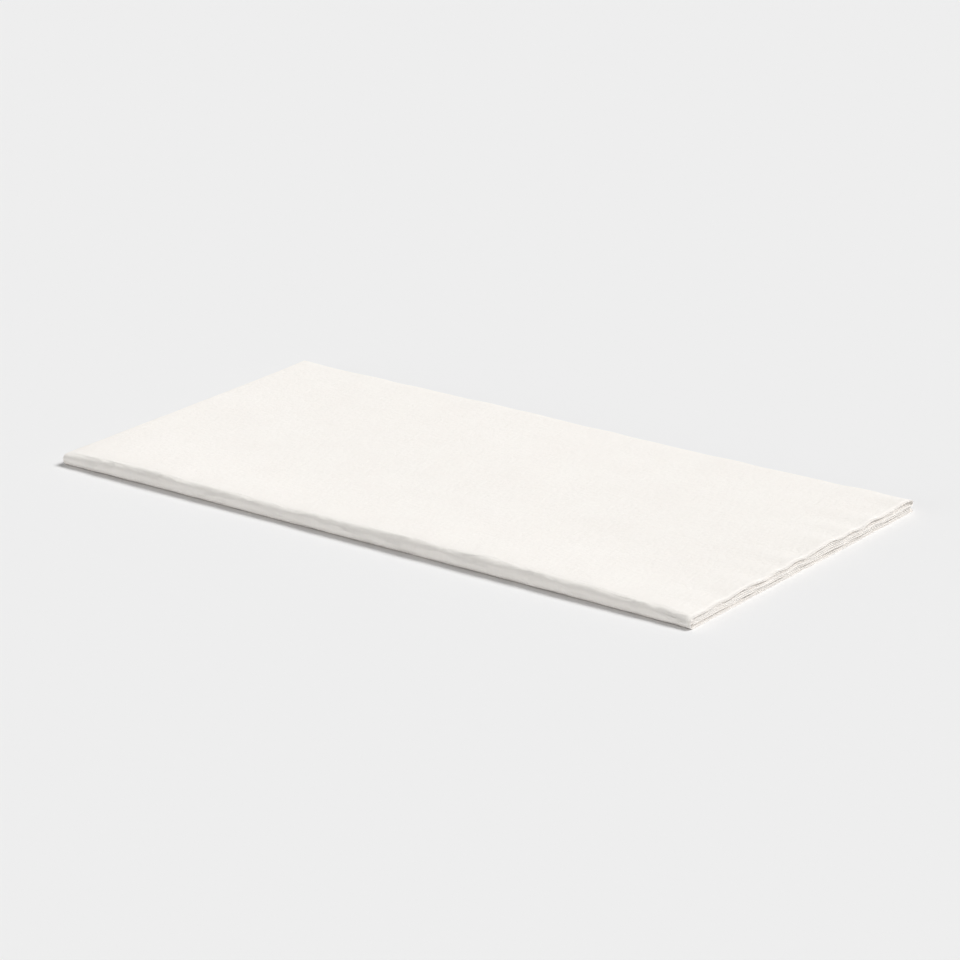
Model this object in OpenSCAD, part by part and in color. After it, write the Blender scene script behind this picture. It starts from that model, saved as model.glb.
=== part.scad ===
// A paper napkin: one square sheet of tissue, folded three times to an eighth of its area and lying flat.
// Every point of the sheet is carried through the three folds in turn, so the eight layers are one sheet.
// X runs along the long side, the last fold faces -Y, and the lowest layer rests on Z = 0.

/* [Sheet] */
// Side of the open square sheet
sheet_side = 330; // [200:5:400]
// Thickness of the sheet, both plies together
sheet_t = 0.23; // [0.12:0.01:0.3]

/* [Folds] */
// How far the first crease misses the middle of the sheet
first_miss = 0.1; // [0:0.1:2]
// How far the second crease misses the middle of the sheet
second_miss = 0.5; // [0:0.1:2]
// How far the third crease misses the middle of the packet
third_miss = 0.4; // [0:0.1:2]
// Share of the slip between layers that a crease lets through, where 1 is a sheet that never stretches
crease_slip = 0.04; // [0:0.01:0.1]

/* [Loft] */
// Air between two layers along the open sides
open_gap = 0.08; // [0.06:0.01:0.2]
// Extra air between two layers at the last fold, which springs open
fold_spring = 0.16; // [0:0.01:0.2]
// How far the extra air reaches in from the last fold
spring_reach = 16; // [10:1:40]
// How far in from each end the last fold is pressed flat
press_reach = 8; // [5:1:20]
// Extra air between two layers at the open short side, which splays
edge_splay = 0.05; // [0:0.01:0.1]
// How far that air reaches in from the open short side
splay_reach = 12; // [5:1:40]
// Extra air between two layers at the crests of the soft waves across the packet
wave_gap = 0.025; // [0:0.005:0.035]
// Length of a soft wave
wave_length = 92; // [80:1:150]
// How far a crease swells outwards where its layers part, as a share of their parting
crease_swell = 0.4; // [0.3:0.1:1]

/* [Facets] */
// Facets round each crease
arc_steps = 10; // [4:2:10]
// Facets along each half of the sheet's side, in the direction of the single crease
long_steps = 14; // [12:1:15]
// Facets along each quarter of the sheet's side, in the direction of the three creases
short_steps = 9; // [7:1:10]

/* [Hidden] */
paper_white = "#F8F4EE";

// Distance from the middle of one layer to the middle of the next, where the packet is flat
pitch = sheet_t + open_gap;
// Height of each fold's axis over the lowest layer: half a pitch above the packet that is folded
axis_1 = pitch / 2;
axis_2 = pitch + pitch / 2;
axis_3 = 3 * pitch + pitch / 2;
// Places of the first and second crease on the open sheet, and how far the third is from the second
middle_1 = sheet_side / 2 + first_miss;
middle_2 = sheet_side / 2 + second_miss;
quarter = sheet_side / 4 - third_miss;
// Spacing of the facets at the ends of a panel, as a share of their even spacing
end_spacing = 0.3;
// Sheet that the last fold takes up on each side of its middle, on the average of its layers
take_up = PI / 2 * (axis_3 + axis_1) / 2 * (1 + crease_swell) / 2;
// Step of the differences that give the sheet's normal
probe = sheet_t / 200;

function mix(a, b, f) = a + (b - a) * f;
function unit(v) = v / norm(v);

// Half the length of sheet that a crease takes up, for a layer at height z under a fold's axis
function half_arc(z, axis) = PI / 2 * mix((axis + pitch / 2) / 2, axis - z, crease_slip);

// One fold of a packet: s runs across the crease and z up through the packet. What lies past the crease
// is turned over on top, and the layers pass round the axis on arcs with one centre.
function fold(s, z, axis) =
    let (h = half_arc(z, axis), r = axis - z)
    s <= -h ? [s + h, z] :
    s >= h ? [h - s, axis + r] :
    let (turn = 90 * (s + h) / h) [r * sin(turn), axis - r * cos(turn)];

// Height of the layer after the first fold alone
function height_1(u) = fold(u - middle_1, 0, axis_1)[1];

// Air between layers at a place on the folded packet, as a factor on the pitch
function loft(x, y) =
    let (
        inset = y + axis_3,
        end = min(x + axis_1, middle_1 - x),
        spring = exp(-pow(inset / spring_reach, 2)) * (1 - exp(-max(end, 0) / press_reach)),
        splay = exp(-(middle_1 - x) / splay_reach) * (1 - exp(-max(inset, 0) / press_reach)),
        wave = sin(360 * x / wave_length + 40) * cos(270 * y / wave_length)
    )
    1 + (fold_spring * spring + edge_splay * splay + wave_gap * wave) / pitch;

// The middle of the sheet's thickness after all three folds. Where air parts the layers, what lies past the
// axis of a crease swells outwards, and the last fold draws in by the sheet that it takes up.
function folded(u, v) =
    let (
        one = fold(u - middle_1, 0, axis_1),
        two = fold(v - middle_2, one[1], axis_2),
        three = fold(two[0] + quarter, two[1], axis_3),
        x = -one[0],
        y = -three[0],
        parting = loft(x, y) - 1,
        swell = crease_swell * parting,
        drawn_in = take_up * parting * exp(-max(y + axis_3, 0) / spring_reach)
    )
    [
        x + min(x, 0) * swell,
        y + (min(y, 0) + max(two[0], 0)) * swell + drawn_in,
        three[1] * (1 + parting)
    ];

function sheet_normal(u, v) = unit(cross(
    folded(u + probe, v) - folded(u - probe, v),
    folded(u, v + probe) - folded(u, v - probe)
));

// Fraction along a panel, with the facets closer together at its two ends
function ease(f) = f - (1 - end_spacing) * sin(360 * f) / (2 * PI);

// Places of the grid lines along one direction of the sheet. Each crease is [place, half arc], and the
// sheet's two raw edges are creases of no length.
function stations(creases, steps) = [
    for (k = [1 : len(creases) - 1])
    let (a = creases[k - 1], b = creases[k])
    each concat(
        [for (i = [0 : steps]) mix(a[0] + a[1], b[0] - b[1], ease(i / steps))],
        k == len(creases) - 1 ? [] : [for (i = [1 : arc_steps - 1]) b[0] + b[1] * (2 * i / arc_steps - 1)]
    )
];

// Creases across v at one place u, where the layer's height sets the length of each
function v_creases(u) =
    let (z = height_1(u), h = half_arc(z, axis_2))
    [
        [0, 0],
        [middle_2 - quarter - h, half_arc(z, axis_3)],
        [middle_2, h],
        [middle_2 + quarter + h, half_arc(2 * axis_2 - z, axis_3)],
        [sheet_side, 0]
    ];

u_lines = stations([[0, 0], [middle_1, half_arc(0, axis_1)], [sheet_side, 0]], long_steps);
v_lines = [for (u = u_lines) stations(v_creases(u), short_steps)];
rows = len(u_lines);
cols = len(v_lines[0]);

// The sheet's two faces, half its thickness either side of the middle
middle_points = [for (i = [0 : rows - 1]) for (v = v_lines[i]) folded(u_lines[i], v)];
half_normals = [for (i = [0 : rows - 1]) for (v = v_lines[i]) sheet_normal(u_lines[i], v) * sheet_t / 2];
sheet_points = concat(middle_points + half_normals, middle_points - half_normals);
low = [for (k = [0 : 2]) min([for (p = sheet_points) p[k]])];
high = [for (k = [0 : 2]) max([for (p = sheet_points) p[k]])];

// Index of a grid point on the upper face (side 0) or the lower face (side 1) of the open sheet
function at(i, j, side) = (side * rows + i) * cols + j;
function quad(a, b, c, d) = [[a, b, c], [a, c, d]];

sheet_faces = concat(
    [for (i = [0 : rows - 2]) for (j = [0 : cols - 2]) each concat(
        quad(at(i, j, 0), at(i, j + 1, 0), at(i + 1, j + 1, 0), at(i + 1, j, 0)),
        quad(at(i, j, 1), at(i + 1, j, 1), at(i + 1, j + 1, 1), at(i, j + 1, 1))
    )],
    [for (i = [0 : rows - 2]) each concat(
        quad(at(i, 0, 0), at(i + 1, 0, 0), at(i + 1, 0, 1), at(i, 0, 1)),
        quad(at(i, cols - 1, 0), at(i, cols - 1, 1), at(i + 1, cols - 1, 1), at(i + 1, cols - 1, 0))
    )],
    [for (j = [0 : cols - 2]) each concat(
        quad(at(0, j, 0), at(0, j, 1), at(0, j + 1, 1), at(0, j + 1, 0)),
        quad(at(rows - 1, j, 0), at(rows - 1, j + 1, 0), at(rows - 1, j + 1, 1), at(rows - 1, j, 1))
    )]
);

// The folded sheet, moved so that its footprint is centred and its lowest face is at Z = 0
module napkin() {
    color(paper_white)
    translate([-(low[0] + high[0]) / 2, -(low[1] + high[1]) / 2, -low[2]])
    polyhedron(points = sheet_points, faces = sheet_faces, convexity = 16);
}

napkin();
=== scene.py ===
import math

import bpy
import numpy as np
from mathutils import Matrix, Vector


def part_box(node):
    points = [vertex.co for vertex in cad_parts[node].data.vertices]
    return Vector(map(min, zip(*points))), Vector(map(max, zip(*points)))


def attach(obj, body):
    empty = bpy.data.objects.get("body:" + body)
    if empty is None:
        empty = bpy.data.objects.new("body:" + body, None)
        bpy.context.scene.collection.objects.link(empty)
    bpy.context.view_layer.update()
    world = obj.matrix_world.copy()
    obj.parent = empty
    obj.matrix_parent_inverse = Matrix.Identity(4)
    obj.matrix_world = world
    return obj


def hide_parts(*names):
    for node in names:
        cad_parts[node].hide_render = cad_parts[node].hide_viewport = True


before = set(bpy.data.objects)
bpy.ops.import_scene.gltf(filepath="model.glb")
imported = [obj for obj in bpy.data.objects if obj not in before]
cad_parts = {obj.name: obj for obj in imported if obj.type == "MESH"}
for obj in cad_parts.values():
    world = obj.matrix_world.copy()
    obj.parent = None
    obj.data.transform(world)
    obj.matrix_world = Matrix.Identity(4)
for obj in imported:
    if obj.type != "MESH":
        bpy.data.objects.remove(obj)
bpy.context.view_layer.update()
MM = 0.001


# Camera
# The photograph looks down on the napkin from the right of its last fold, through a long lens. Direction and
# distance are the photograph's, and the lens is longer still, so that one napkin fills the width.
CAMERA_AZIMUTH = math.radians(37.3)
CAMERA_ELEVATION = math.radians(19.6)
CAMERA_ROLL = math.radians(-0.5)
CAMERA_DISTANCE = 843 * MM
# The camera takes its lens and sensor in millimetres
LENS = 148
SENSOR_WIDTH = 36

camera_data = bpy.data.cameras.new("camera")
camera_data.lens = LENS
camera_data.sensor_width = SENSOR_WIDTH
camera = bpy.data.objects.new("camera", camera_data)
camera_back = Vector((
    math.sin(CAMERA_AZIMUTH) * math.cos(CAMERA_ELEVATION),
    -math.cos(CAMERA_AZIMUTH) * math.cos(CAMERA_ELEVATION),
    math.sin(CAMERA_ELEVATION),
))
napkin_low, napkin_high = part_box("napkin")
napkin_centre = (napkin_low + napkin_high) / 2
camera_place = Matrix.Translation(napkin_centre + camera_back * CAMERA_DISTANCE)
camera_aim = (-camera_back).to_track_quat("-Z", "Y").to_matrix().to_4x4()
camera.matrix_world = camera_place @ camera_aim @ Matrix.Rotation(CAMERA_ROLL, 4, "Z")
bpy.context.scene.collection.objects.link(camera)
bpy.context.scene.camera = camera
bpy.context.scene.view_settings.view_transform = "Standard"


# Studio
# White light from all round, one broad soft light high up behind and to the right, which the open short side
# faces and the last fold turns away from, and a weaker low one in front of that fold. Together they light a
# level white surface to about 1. The floor is plain, matt and pale grey, so that the napkin stands out.
SKY_LEVEL = 0.30
KEY_LEVEL = 0.86
KEY_SPREAD = math.radians(25)
KEY_DIRECTION = Vector((0.46, 0.43, 0.775))
FILL_LEVEL = 0.30
FILL_SPREAD = math.radians(40)
FILL_DIRECTION = Vector((-0.35, -0.93, 0.06))
WHITE = (1, 1, 1, 1)
FLOOR_GREY = "#EEEEEE"
FLOOR_SIDE = 12
# The floor is this little below the napkin, so that no two faces share a plane
FLOOR_DROP = 0.02 * MM


def linear(colour):
    """An sRGB hex colour as linear RGBA: each channel c is ((c + 0.055) / 1.055) to the power 2.4, or
    c / 12.92 where it is very dark."""
    channels = [int(colour[i:i + 2], 16) / 255 for i in (1, 3, 5)]
    return (*[((c + 0.055) / 1.055) ** 2.4 if c > 0.04045 else c / 12.92 for c in channels], 1)


def add_node(tree, kind, settings=None, inputs=None):
    """One node: settings are its properties, and inputs its sockets by name or number, each given another
    node's output to join or a plain value."""
    node = tree.nodes.new(kind)
    for name, value in (settings or {}).items():
        setattr(node, name, value)
    for name, value in (inputs or {}).items():
        socket = node.inputs[name]
        if isinstance(value, bpy.types.NodeSocket):
            tree.links.new(value, socket)
        else:
            socket.default_value = value
    return node


def add_object(name, mesh):
    piece = bpy.data.objects.new(name, mesh)
    bpy.context.scene.collection.objects.link(piece)
    return piece


def add_lamp(name, level, spread, direction):
    """A sun in the given direction. One of strength pi lights a white surface that faces it to 1."""
    data = bpy.data.lights.new(name, "SUN")
    data.angle = spread
    data.energy = level * math.pi
    lamp = bpy.data.objects.new(name, data)
    lamp.rotation_mode = "QUATERNION"
    lamp.rotation_quaternion = (-direction).to_track_quat("-Z", "Y")
    bpy.context.scene.collection.objects.link(lamp)


# The camera, gloss and light passing through see a plain white sky, whatever level it lights the napkin at
world = bpy.data.worlds.new("studio")
bpy.context.scene.world = world
world.use_nodes = True
sky = world.node_tree
sky.nodes.clear()
ray = add_node(sky, "ShaderNodeLightPath").outputs
seen = add_node(sky, "ShaderNodeMath", {"operation": "MAXIMUM"}, {
    0: ray["Is Camera Ray"], 1: ray["Is Glossy Ray"],
})
seen = add_node(sky, "ShaderNodeMath", {"operation": "MAXIMUM"}, {
    0: seen.outputs[0], 1: ray["Is Transmission Ray"],
})
lighting = add_node(sky, "ShaderNodeBackground", None, {"Color": WHITE, "Strength": SKY_LEVEL})
backdrop = add_node(sky, "ShaderNodeBackground", None, {"Color": WHITE, "Strength": 1})
surround = add_node(sky, "ShaderNodeMixShader", None, {
    0: seen.outputs[0], 1: lighting.outputs[0], 2: backdrop.outputs[0],
})
add_node(sky, "ShaderNodeOutputWorld", None, {"Surface": surround.outputs[0]})

add_lamp("key_light", KEY_LEVEL, KEY_SPREAD, KEY_DIRECTION)
add_lamp("fill_light", FILL_LEVEL, FILL_SPREAD, FILL_DIRECTION)

floor_mesh = bpy.data.meshes.new("floor")
floor_corners = np.array([(-1, -1, 0), (1, -1, 0), (1, 1, 0), (-1, 1, 0)]) * FLOOR_SIDE / 2
floor_mesh.from_pydata(floor_corners - [0, 0, FLOOR_DROP], [], [(0, 1, 2, 3)])
floor = add_object("floor", floor_mesh)
floor_paint = bpy.data.materials.new("matt_grey_floor")
floor_paint.use_nodes = True
floor_shader = floor_paint.node_tree.nodes["Principled BSDF"]
floor_shader.inputs["Base Color"].default_value = linear(FLOOR_GREY)
floor_shader.inputs["Roughness"].default_value = 1
floor_shader.inputs["Specular IOR Level"].default_value = 0
floor_mesh.materials.append(floor_paint)


# The napkin
# One square sheet of 2-ply tissue, cut from the web, folded in half twice and then once more lengthwise. Its
# eight layers are one sheet: every point goes through the three folds in turn, and is then moved a little by
# the spring of the last fold and the cockles of the loose edges.
SHEET_SIDE = 330 * MM
SHEET_T = 0.23 * MM
OPEN_GAP = 0.08 * MM
PITCH = SHEET_T + OPEN_GAP

# The three creases: how far each misses the middle, the height of its axis, and its place on the sheet, which
# for the last one is its distance from the second
FIRST_MISS = 0.1 * MM
SECOND_MISS = 0.5 * MM
THIRD_MISS = 0.4 * MM
AXIS_1 = PITCH / 2
AXIS_2 = 1.5 * PITCH
AXIS_3 = 3.5 * PITCH
MIDDLE_1 = SHEET_SIDE / 2 + FIRST_MISS
MIDDLE_2 = SHEET_SIDE / 2 + SECOND_MISS
QUARTER = SHEET_SIDE / 4 - THIRD_MISS

# Share of the slip between layers that a crease lets through, share of the layers' parting by which it swells
# outwards, and how much sheet the last fold takes up where they part
CREASE_SLIP = 0.04
SWELL = 0.4
TAKE_UP = math.pi / 2 * (AXIS_3 + AXIS_1) / 2 * (1 + SWELL) / 2

# Air between two layers, how far each sort of it reaches in from its edge, and soft waves all over
FOLD_SPRING = 0.16 * MM
SPRING_REACH = 16 * MM
PRESS_REACH = 8 * MM
EDGE_SPLAY = 0.05 * MM
SPLAY_REACH = 12 * MM
WAVE_GAP = 0.025 * MM
WAVE_LENGTH = 92 * MM
WAVE_PHASE = 0.7

# Cockles of the whole packet at its open short side, back and last fold, as shares of its height. Here and
# below, a ripple is a sum of sines, each written (length in mm, height, phase).
COCKLE_REACH = 7 * MM
SHORT_COCKLE = 0.13
SHORT_RIPPLE = [(7.1, 0.4, 0.6), (9.7, 0.45, 2.1), (15.3, 0.4, 0.2), (29, 0.3, 4)]
BACK_COCKLE = 0.045
BACK_RIPPLE = [(10.9, 0.4, 1.3), (16.7, 0.5, 0.4), (31, 0.5, 2.2)]
FOLD_COCKLE = 0.05
FOLD_RIPPLE = [(9.3, 0.25, 0.3), (14.1, 0.4, 1.9), (23, 0.5, 0.8), (47, 0.5, 3.1)]

# Soft unevenness of the face: a ripple along the napkin times one across it, both slanted, and a diagonal one
FACE_COCKLE = 0.012
ALONG_SLANT = 0.4
ALONG_RIPPLE = [(31, 1, 0.7)]
ACROSS_SLANT = 0.3
ACROSS_RIPPLE = [(27, 1, 0.2)]
DIAGONAL_RIPPLE = [(19, 0.5, 2.2)]

# Play of single layers up and down, as a share of one layer's height, its turn of phase from layer to layer,
# and the drift of that phase along the open short side, the creased short side and the back
LAYER_PLAY = 0.07
LAYER_TURN = 1.85
SHORT_DRIFT = [(23, 1.6, 0), (11.3, 1.2, 1), (7.9, 0.8, 3)]
CREASE_DRIFT = [(27, 1.6, 2), (12.7, 1.2, 0)]
BACK_DRIFT = [(31, 1.6, 0), (17.9, 1.3, 2), (11.7, 0.8, 5)]

# Wander of the cut edge and of the last fold in and out, with its own turns and drifts
WANDER_REACH = 3 * MM
EDGE_WANDER = 0.08 * MM
EDGE_TURN = 1.3 * LAYER_TURN
EDGE_DRIFT = [(41, 2, 0), (14.3, 1.5, 1)]
FOLD_WANDER = 0.1 * MM
FOLD_WANDER_RIPPLE = [(12.3, 0.6, 0), (21, 0.8, 2)]
FOLD_TURN = 0.45
FOLD_DRIFT = [(37, 1.5, 1), (19, 1.3, 0)]

# How far the puckers of the last fold reach from its crease, and how far in from the cut edge they are full
PUCKER_REACH = 1.2 * MM
PUCKER_START = 2 * MM

# Grid lines round each crease and across each panel, and how much closer they are at the panel's ends
ARC_STEPS = 10
LONG_STEPS = 88
LONG_EASE = 0.4
SHORT_STEPS = 56
SHORT_EASE = 0

# Depth of the groove along the cut edge, and the small step that the sheet's normal is worked out with
PLY_GROOVE = 0.09 * MM
PROBE = 0.001 * MM


def half_arc(z, axis):
    """Half the sheet that a crease takes up: a quarter turn on a radius that is mostly the packet's mean, so
    that the sheet stretches a little on the outside of the crease, and partly the layer's own."""
    mean = (axis + PITCH / 2) / 2
    return np.pi / 2 * (mean + (axis - z - mean) * CREASE_SLIP)


def fold(s, z, axis):
    """One fold of a packet: s across the crease, z up through it. Before the crease the layer stays, past it
    the layer is turned over on top, and between them it goes round the axis on an arc of radius axis - z."""
    h = half_arc(z, axis)
    turn = np.pi / 2 * (np.clip(s / h, -1, 1) + 1)
    across = np.where(np.abs(s) < h, (axis - z) * np.sin(turn), h - np.abs(s))
    return across, axis - (axis - z) * np.cos(turn)


def ripple(along, sines):
    """The sum of height * sin(2 pi along / length + phase) over some sines."""
    return sum(height * np.sin(2 * np.pi * along / (length * MM) + phase) for length, height, phase in sines)


def insets(x, y):
    """How far in a place is from the open short side, the creased short side, the back and the last fold."""
    return MIDDLE_1 - x, x + AXIS_1, QUARTER - y, y + AXIS_3


def near(inset, reach):
    """How near a place is to an edge: exp(-inset / reach), and 1 past the edge."""
    return np.exp(-np.maximum(inset, 0) / reach)


def spacing(x, y):
    """Distance from one layer to the next: PITCH and the air of the last fold's spring, the open side's splay
    and the soft waves, all times 1 plus the cockles, which fade from their edges."""
    short, crease, back, last = insets(x, y)
    held = 1 - np.maximum(near(short, PRESS_REACH), near(crease, PRESS_REACH))
    loose = 1 - near(last, PRESS_REACH)
    spring = FOLD_SPRING * np.exp(-(np.maximum(last, 0) / SPRING_REACH) ** 2) * held
    splay = EDGE_SPLAY * near(short, SPLAY_REACH) * loose
    wave = np.sin(2 * np.pi * x / WAVE_LENGTH + WAVE_PHASE) * np.cos(1.5 * np.pi * y / WAVE_LENGTH)

    cockle = SHORT_COCKLE * near(short, COCKLE_REACH) * loose * ripple(y, SHORT_RIPPLE)
    cockle += BACK_COCKLE * near(back, COCKLE_REACH) * ripple(x, BACK_RIPPLE)
    cockle += FOLD_COCKLE * near(last, COCKLE_REACH) * held * ripple(x, FOLD_RIPPLE)
    face = ripple(x + ALONG_SLANT * y, ALONG_RIPPLE) * ripple(y - ACROSS_SLANT * x, ACROSS_RIPPLE)
    cockle += FACE_COCKLE * (face + ripple(x - y, DIAGONAL_RIPPLE))
    return (PITCH + spring + splay + WAVE_GAP * wave) * (1 + cockle)


def height(x, y, layer):
    """Height of a layer, counted from 0: (layer + play) * spacing. The play is a sine along each loose side
    whose phase turns from layer to layer, and the lowest layer has none."""
    short, crease, back, last = [near(inset, COCKLE_REACH) for inset in insets(x, y)]
    turn = LAYER_TURN * layer
    play = short * np.sin(turn + ripple(y, SHORT_DRIFT))
    play += crease * (1 - last) * np.sin(turn + ripple(y, CREASE_DRIFT))
    play += back * (1 - short - crease) * np.sin(turn + ripple(x, BACK_DRIFT))
    return (layer + LAYER_PLAY * np.clip(layer, 0, 1) * play) * spacing(x, y)


def folded(u, v):
    """The middle of the sheet's thickness at the point (u, v) of the open sheet, by three folds in turn.
    Where the layers part, what lies past the axis of a crease grows outwards by a share of that, and the
    last fold draws in by what it takes up."""
    past_first, z = fold(u - MIDDLE_1, 0, AXIS_1)
    past_second, z = fold(v - MIDDLE_2, z, AXIS_2)
    past_third, z = fold(past_second + QUARTER, z, AXIS_3)
    x = -past_first
    y = -past_third
    layer = z / PITCH

    short, _, _, last = insets(x, y)
    swell = SWELL * ((height(x, y, layer + 0.5) - height(x, y, layer - 0.5)) / PITCH - 1)
    drawn_in = TAKE_UP * near(last, SPRING_REACH) * (spacing(x, y) / PITCH - 1)
    edge_wander = EDGE_WANDER * near(short, WANDER_REACH) * np.sin(EDGE_TURN * layer + ripple(y, EDGE_DRIFT))
    fold_wander = FOLD_WANDER * near(last, WANDER_REACH) * ripple(x, FOLD_WANDER_RIPPLE)
    fold_wander *= np.sin(FOLD_TURN * layer + ripple(x, FOLD_DRIFT))
    return np.stack([
        x + np.minimum(x, 0) * swell + edge_wander,
        y + (np.minimum(y, 0) + np.maximum(past_second, 0)) * swell + drawn_in + fold_wander,
        height(x, y, layer),
    ], axis=-1)


def stations(creases, steps, ease):
    """Grid lines across a row of creases, each a (place, half arc) pair, where the sheet's raw edges are
    creases of no length. Across a panel they are spaced by f - ease * sin(2 pi f) / (2 pi), which is closer
    at its ends, and round a crease they are even."""
    f = np.linspace(0, 1, steps + 1)
    panel = f - ease * np.sin(2 * np.pi * f) / (2 * np.pi)
    arc = np.linspace(-1, 1, ARC_STEPS + 1)[1:-1]
    numbers = np.broadcast_arrays(*[number for crease in creases for number in crease])
    places = [number[..., None] for number in numbers[0::2]]
    half_arcs = [number[..., None] for number in numbers[1::2]]
    parts = []
    for k in range(len(creases) - 1):
        start = places[k] + half_arcs[k]
        end = places[k + 1] - half_arcs[k + 1]
        parts.append(start + (end - start) * panel)
        parts.append(places[k + 1] + half_arcs[k + 1] * arc)
    return np.concatenate(parts[:-1], axis=-1)


u_lines = stations([(0, 0), (MIDDLE_1, half_arc(0, AXIS_1)), (SHEET_SIDE, 0)], LONG_STEPS, LONG_EASE)
first_height = fold(u_lines - MIDDLE_1, 0, AXIS_1)[1]
second_arc = half_arc(first_height, AXIS_2)
v_lines = stations([
    (0, 0),
    (MIDDLE_2 - QUARTER - second_arc, half_arc(first_height, AXIS_3)),
    (MIDDLE_2, second_arc),
    (MIDDLE_2 + QUARTER + second_arc, half_arc(2 * AXIS_2 - first_height, AXIS_3)),
    (SHEET_SIDE, 0),
], SHORT_STEPS, SHORT_EASE)
u_lines = np.broadcast_to(u_lines[:, None], v_lines.shape)

# The sheet's two faces are the grid moved half its thickness each way. Its cut edge is a wall between them
# with a shallow groove along its middle, where the two plies part.
middle = folded(u_lines, v_lines)
normal = np.cross(
    folded(u_lines + PROBE, v_lines) - folded(u_lines - PROBE, v_lines),
    folded(u_lines, v_lines + PROBE) - folded(u_lines, v_lines - PROBE),
)
half_sheet = normal * SHEET_T / 2 / np.linalg.norm(normal, axis=-1, keepdims=True)
rows, cols = v_lines.shape
index = np.arange(rows * cols).reshape(rows, cols)
rim = np.concatenate([index[:-1, 0], index[-1, :-1], index[:0:-1, -1], index[0, :0:-1]])
lower_rim = rim + rows * cols
groove = np.arange(len(rim)) + 2 * rows * cols
grid_uv = np.stack([u_lines, v_lines], axis=-1).reshape(-1, 2)
groove_uv = np.clip(grid_uv[rim], PLY_GROOVE, SHEET_SIDE - PLY_GROOVE)
sheet_uv = np.concatenate([grid_uv, grid_uv, groove_uv])
points = np.concatenate([
    (middle + half_sheet).reshape(-1, 3),
    (middle - half_sheet).reshape(-1, 3),
    folded(groove_uv[:, 0], groove_uv[:, 1]),
])
low = points.min(axis=0)
high = points.max(axis=0)
points -= [(low[0] + high[0]) / 2, (low[1] + high[1]) / 2, low[2]]
upper = np.stack([index[:-1, :-1], index[1:, :-1], index[1:, 1:], index[:-1, 1:]], axis=-1).reshape(-1, 4)
quads = np.concatenate([
    upper,
    upper[:, ::-1] + rows * cols,
    np.stack([np.roll(rim, -1), rim, groove, np.roll(groove, -1)], axis=-1),
    np.stack([np.roll(groove, -1), groove, lower_rim, np.roll(lower_rim, -1)], axis=-1),
])

# The faces are smooth and the cut edge isn't. The map gives each point's place on the open sheet in metres,
# and "creased" is 1 along the crease of the last fold and fades away from it and at the cut edge.
sheet = bpy.data.meshes.new("napkin_sheet")
sheet.from_pydata(points, [], quads)
sheet.polygons.foreach_set("use_smooth", np.arange(len(quads)) < 2 * len(upper))
sheet_map = sheet.uv_layers.new(name="sheet")
sheet_map.uv.foreach_set("vector", sheet_uv[quads.ravel()].astype(np.float32).ravel())
off_crease = np.abs(sheet_uv[:, 1] - MIDDLE_2) - QUARTER - second_arc.mean()
off_edge = np.minimum(sheet_uv[:, 0], SHEET_SIDE - sheet_uv[:, 0])
creased = np.exp(-(off_crease / PUCKER_REACH) ** 2) * np.clip(off_edge / PUCKER_START, 0, 1)
creased_map = sheet.attributes.new("creased", "FLOAT", "POINT")
creased_map.data.foreach_set("value", creased.astype(np.float32))
sheet.validate()
napkin = add_object("napkin_sheet", sheet)

# Creped tissue: bleached pulp, scraped off its drying cylinder in fine ridges and left soft. It is matt and
# a warm white, lets a little light through, and shows broken ridges across the web, a faint cloudiness of
# fibre, and long puckers where the last fold has creased it. The valleys of the crepe ridges are painted a
# shade darker.
# The darker colour is partly a random tone of the fibre and partly painted shade in the crepe's valleys
TISSUE_WHITE = "#FBF5EF"
TISSUE_TONE_AND_VALLEY_SHADE = "#F8F2EC"
# Real crepe ridges are 0.3 to 0.4 mm apart, which is finer than the render shows, so they are drawn at
# 0.7 mm. A noise has about one ridge in each unit of its coordinates, and a run is how many times longer
# than its spacing a ridge is.
CREPE_SPACING = 0.7 * MM
CREPE_RUN = 5
CREPE_HEIGHT = 0.07 * MM
PUCKER_SPACING = 0.8 * MM
PUCKER_RUN = 8
PUCKER_HEIGHT = 0.6 * MM
FIBRE_SPACING = 1 * MM
FIBRE_HEIGHT = 0.06 * MM
CLOUD_SPACING = 12 * MM
# The colour goes from the darker one to white as the cloud plus this share of the crepe goes from low to
# high. The cloud is a random tone of the fibre, and the crepe's share is painted shade in its valleys.
CREPE_SHADE_SHARE = 0.6
TONE_AND_SHADE_LOW = 0.5
TONE_AND_SHADE_HIGH = 1.1
# How far light spreads inside the tissue, the same for each colour of it
SCATTER = 0.25 * MM

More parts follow.
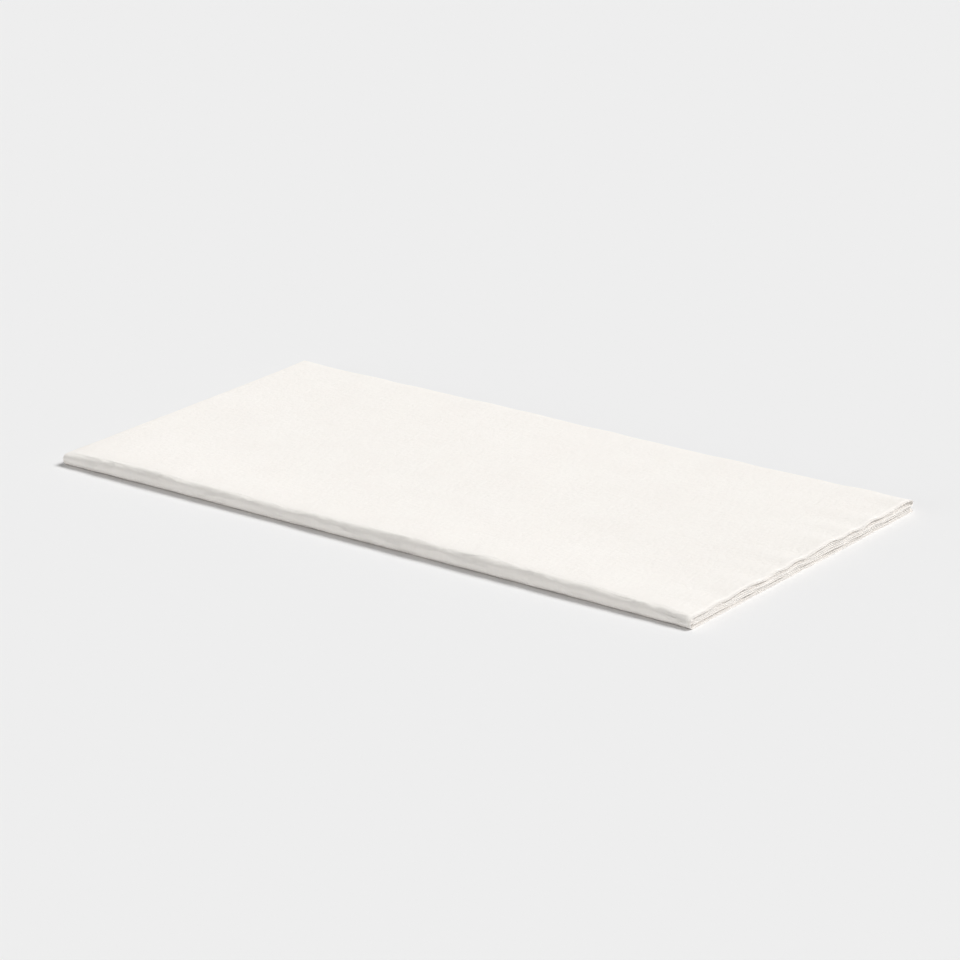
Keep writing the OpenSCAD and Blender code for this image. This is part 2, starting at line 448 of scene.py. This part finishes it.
tissue = bpy.data.materials.new("creped_tissue")
tissue.use_nodes = True
tree = tissue.node_tree
shader = tree.nodes["Principled BSDF"]
on_sheet = add_node(tree, "ShaderNodeUVMap", {"uv_map": "sheet"}).outputs["UV"]
along_web = add_node(tree, "ShaderNodeMapping", None, {
    "Vector": on_sheet, "Scale": (1 / CREPE_SPACING, 1 / (CREPE_SPACING * CREPE_RUN), 1),
}).outputs["Vector"]
crepe = add_node(tree, "ShaderNodeTexNoise", {"noise_dimensions": "2D"}, {
    "Vector": along_web, "Scale": 1, "Detail": 1.5, "Roughness": 0.5, "Distortion": 0.3,
}).outputs["Fac"]
fibre = add_node(tree, "ShaderNodeTexNoise", {"noise_dimensions": "2D"}, {
    "Vector": on_sheet, "Scale": 1 / FIBRE_SPACING, "Detail": 2,
}).outputs["Fac"]
cloud = add_node(tree, "ShaderNodeTexNoise", {"noise_dimensions": "2D"}, {
    "Vector": on_sheet, "Scale": 1 / CLOUD_SPACING, "Detail": 3, "Roughness": 0.6,
}).outputs["Fac"]
along_crease = add_node(tree, "ShaderNodeMapping", None, {
    "Vector": on_sheet, "Scale": (1 / (PUCKER_SPACING * PUCKER_RUN), 1 / PUCKER_SPACING, 1),
}).outputs["Vector"]
pucker = add_node(tree, "ShaderNodeTexNoise", {"noise_dimensions": "2D"}, {
    "Vector": along_crease, "Scale": 1, "Detail": 1, "Distortion": 0.5,
}).outputs["Fac"]
pucker_strength = add_node(tree, "ShaderNodeAttribute", {"attribute_name": "creased"}).outputs["Fac"]

relief = add_node(tree, "ShaderNodeBump", None, {"Height": crepe, "Distance": CREPE_HEIGHT}).outputs["Normal"]
relief = add_node(tree, "ShaderNodeBump", None, {
    "Height": fibre, "Distance": FIBRE_HEIGHT, "Normal": relief,
}).outputs["Normal"]
relief = add_node(tree, "ShaderNodeBump", None, {
    "Height": pucker, "Distance": PUCKER_HEIGHT, "Strength": pucker_strength, "Normal": relief,
}).outputs["Normal"]
tree.links.new(relief, shader.inputs["Normal"])

# Painted shade: where the crepe's bump is low, its valleys are coloured darker, on top of the cloud's random
# tone
tone_and_shade_mix = add_node(tree, "ShaderNodeMath", {"operation": "MULTIPLY_ADD"}, {0: crepe, 1: CREPE_SHADE_SHARE, 2: cloud})
shade = add_node(tree, "ShaderNodeMapRange", None, {
    "Value": tone_and_shade_mix.outputs[0], "From Min": TONE_AND_SHADE_LOW, "From Max": TONE_AND_SHADE_HIGH,
})
# Inputs 6 and 7 of a colour mix are its two colours, and its output 2 is the mixed one
colour = add_node(tree, "ShaderNodeMix", {"data_type": "RGBA"}, {
    0: shade.outputs["Result"], 6: linear(TISSUE_TONE_AND_VALLEY_SHADE), 7: linear(TISSUE_WHITE),
})
tree.links.new(colour.outputs[2], shader.inputs["Base Color"])
shader.inputs["Roughness"].default_value = 0.95
shader.inputs["Specular IOR Level"].default_value = 0.15
shader.inputs["Subsurface Weight"].default_value = 0.5
shader.inputs["Subsurface Radius"].default_value = (1, 1, 1)
shader.inputs["Subsurface Scale"].default_value = SCATTER
sheet.materials.append(tissue)

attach(napkin, "root")
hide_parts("napkin")
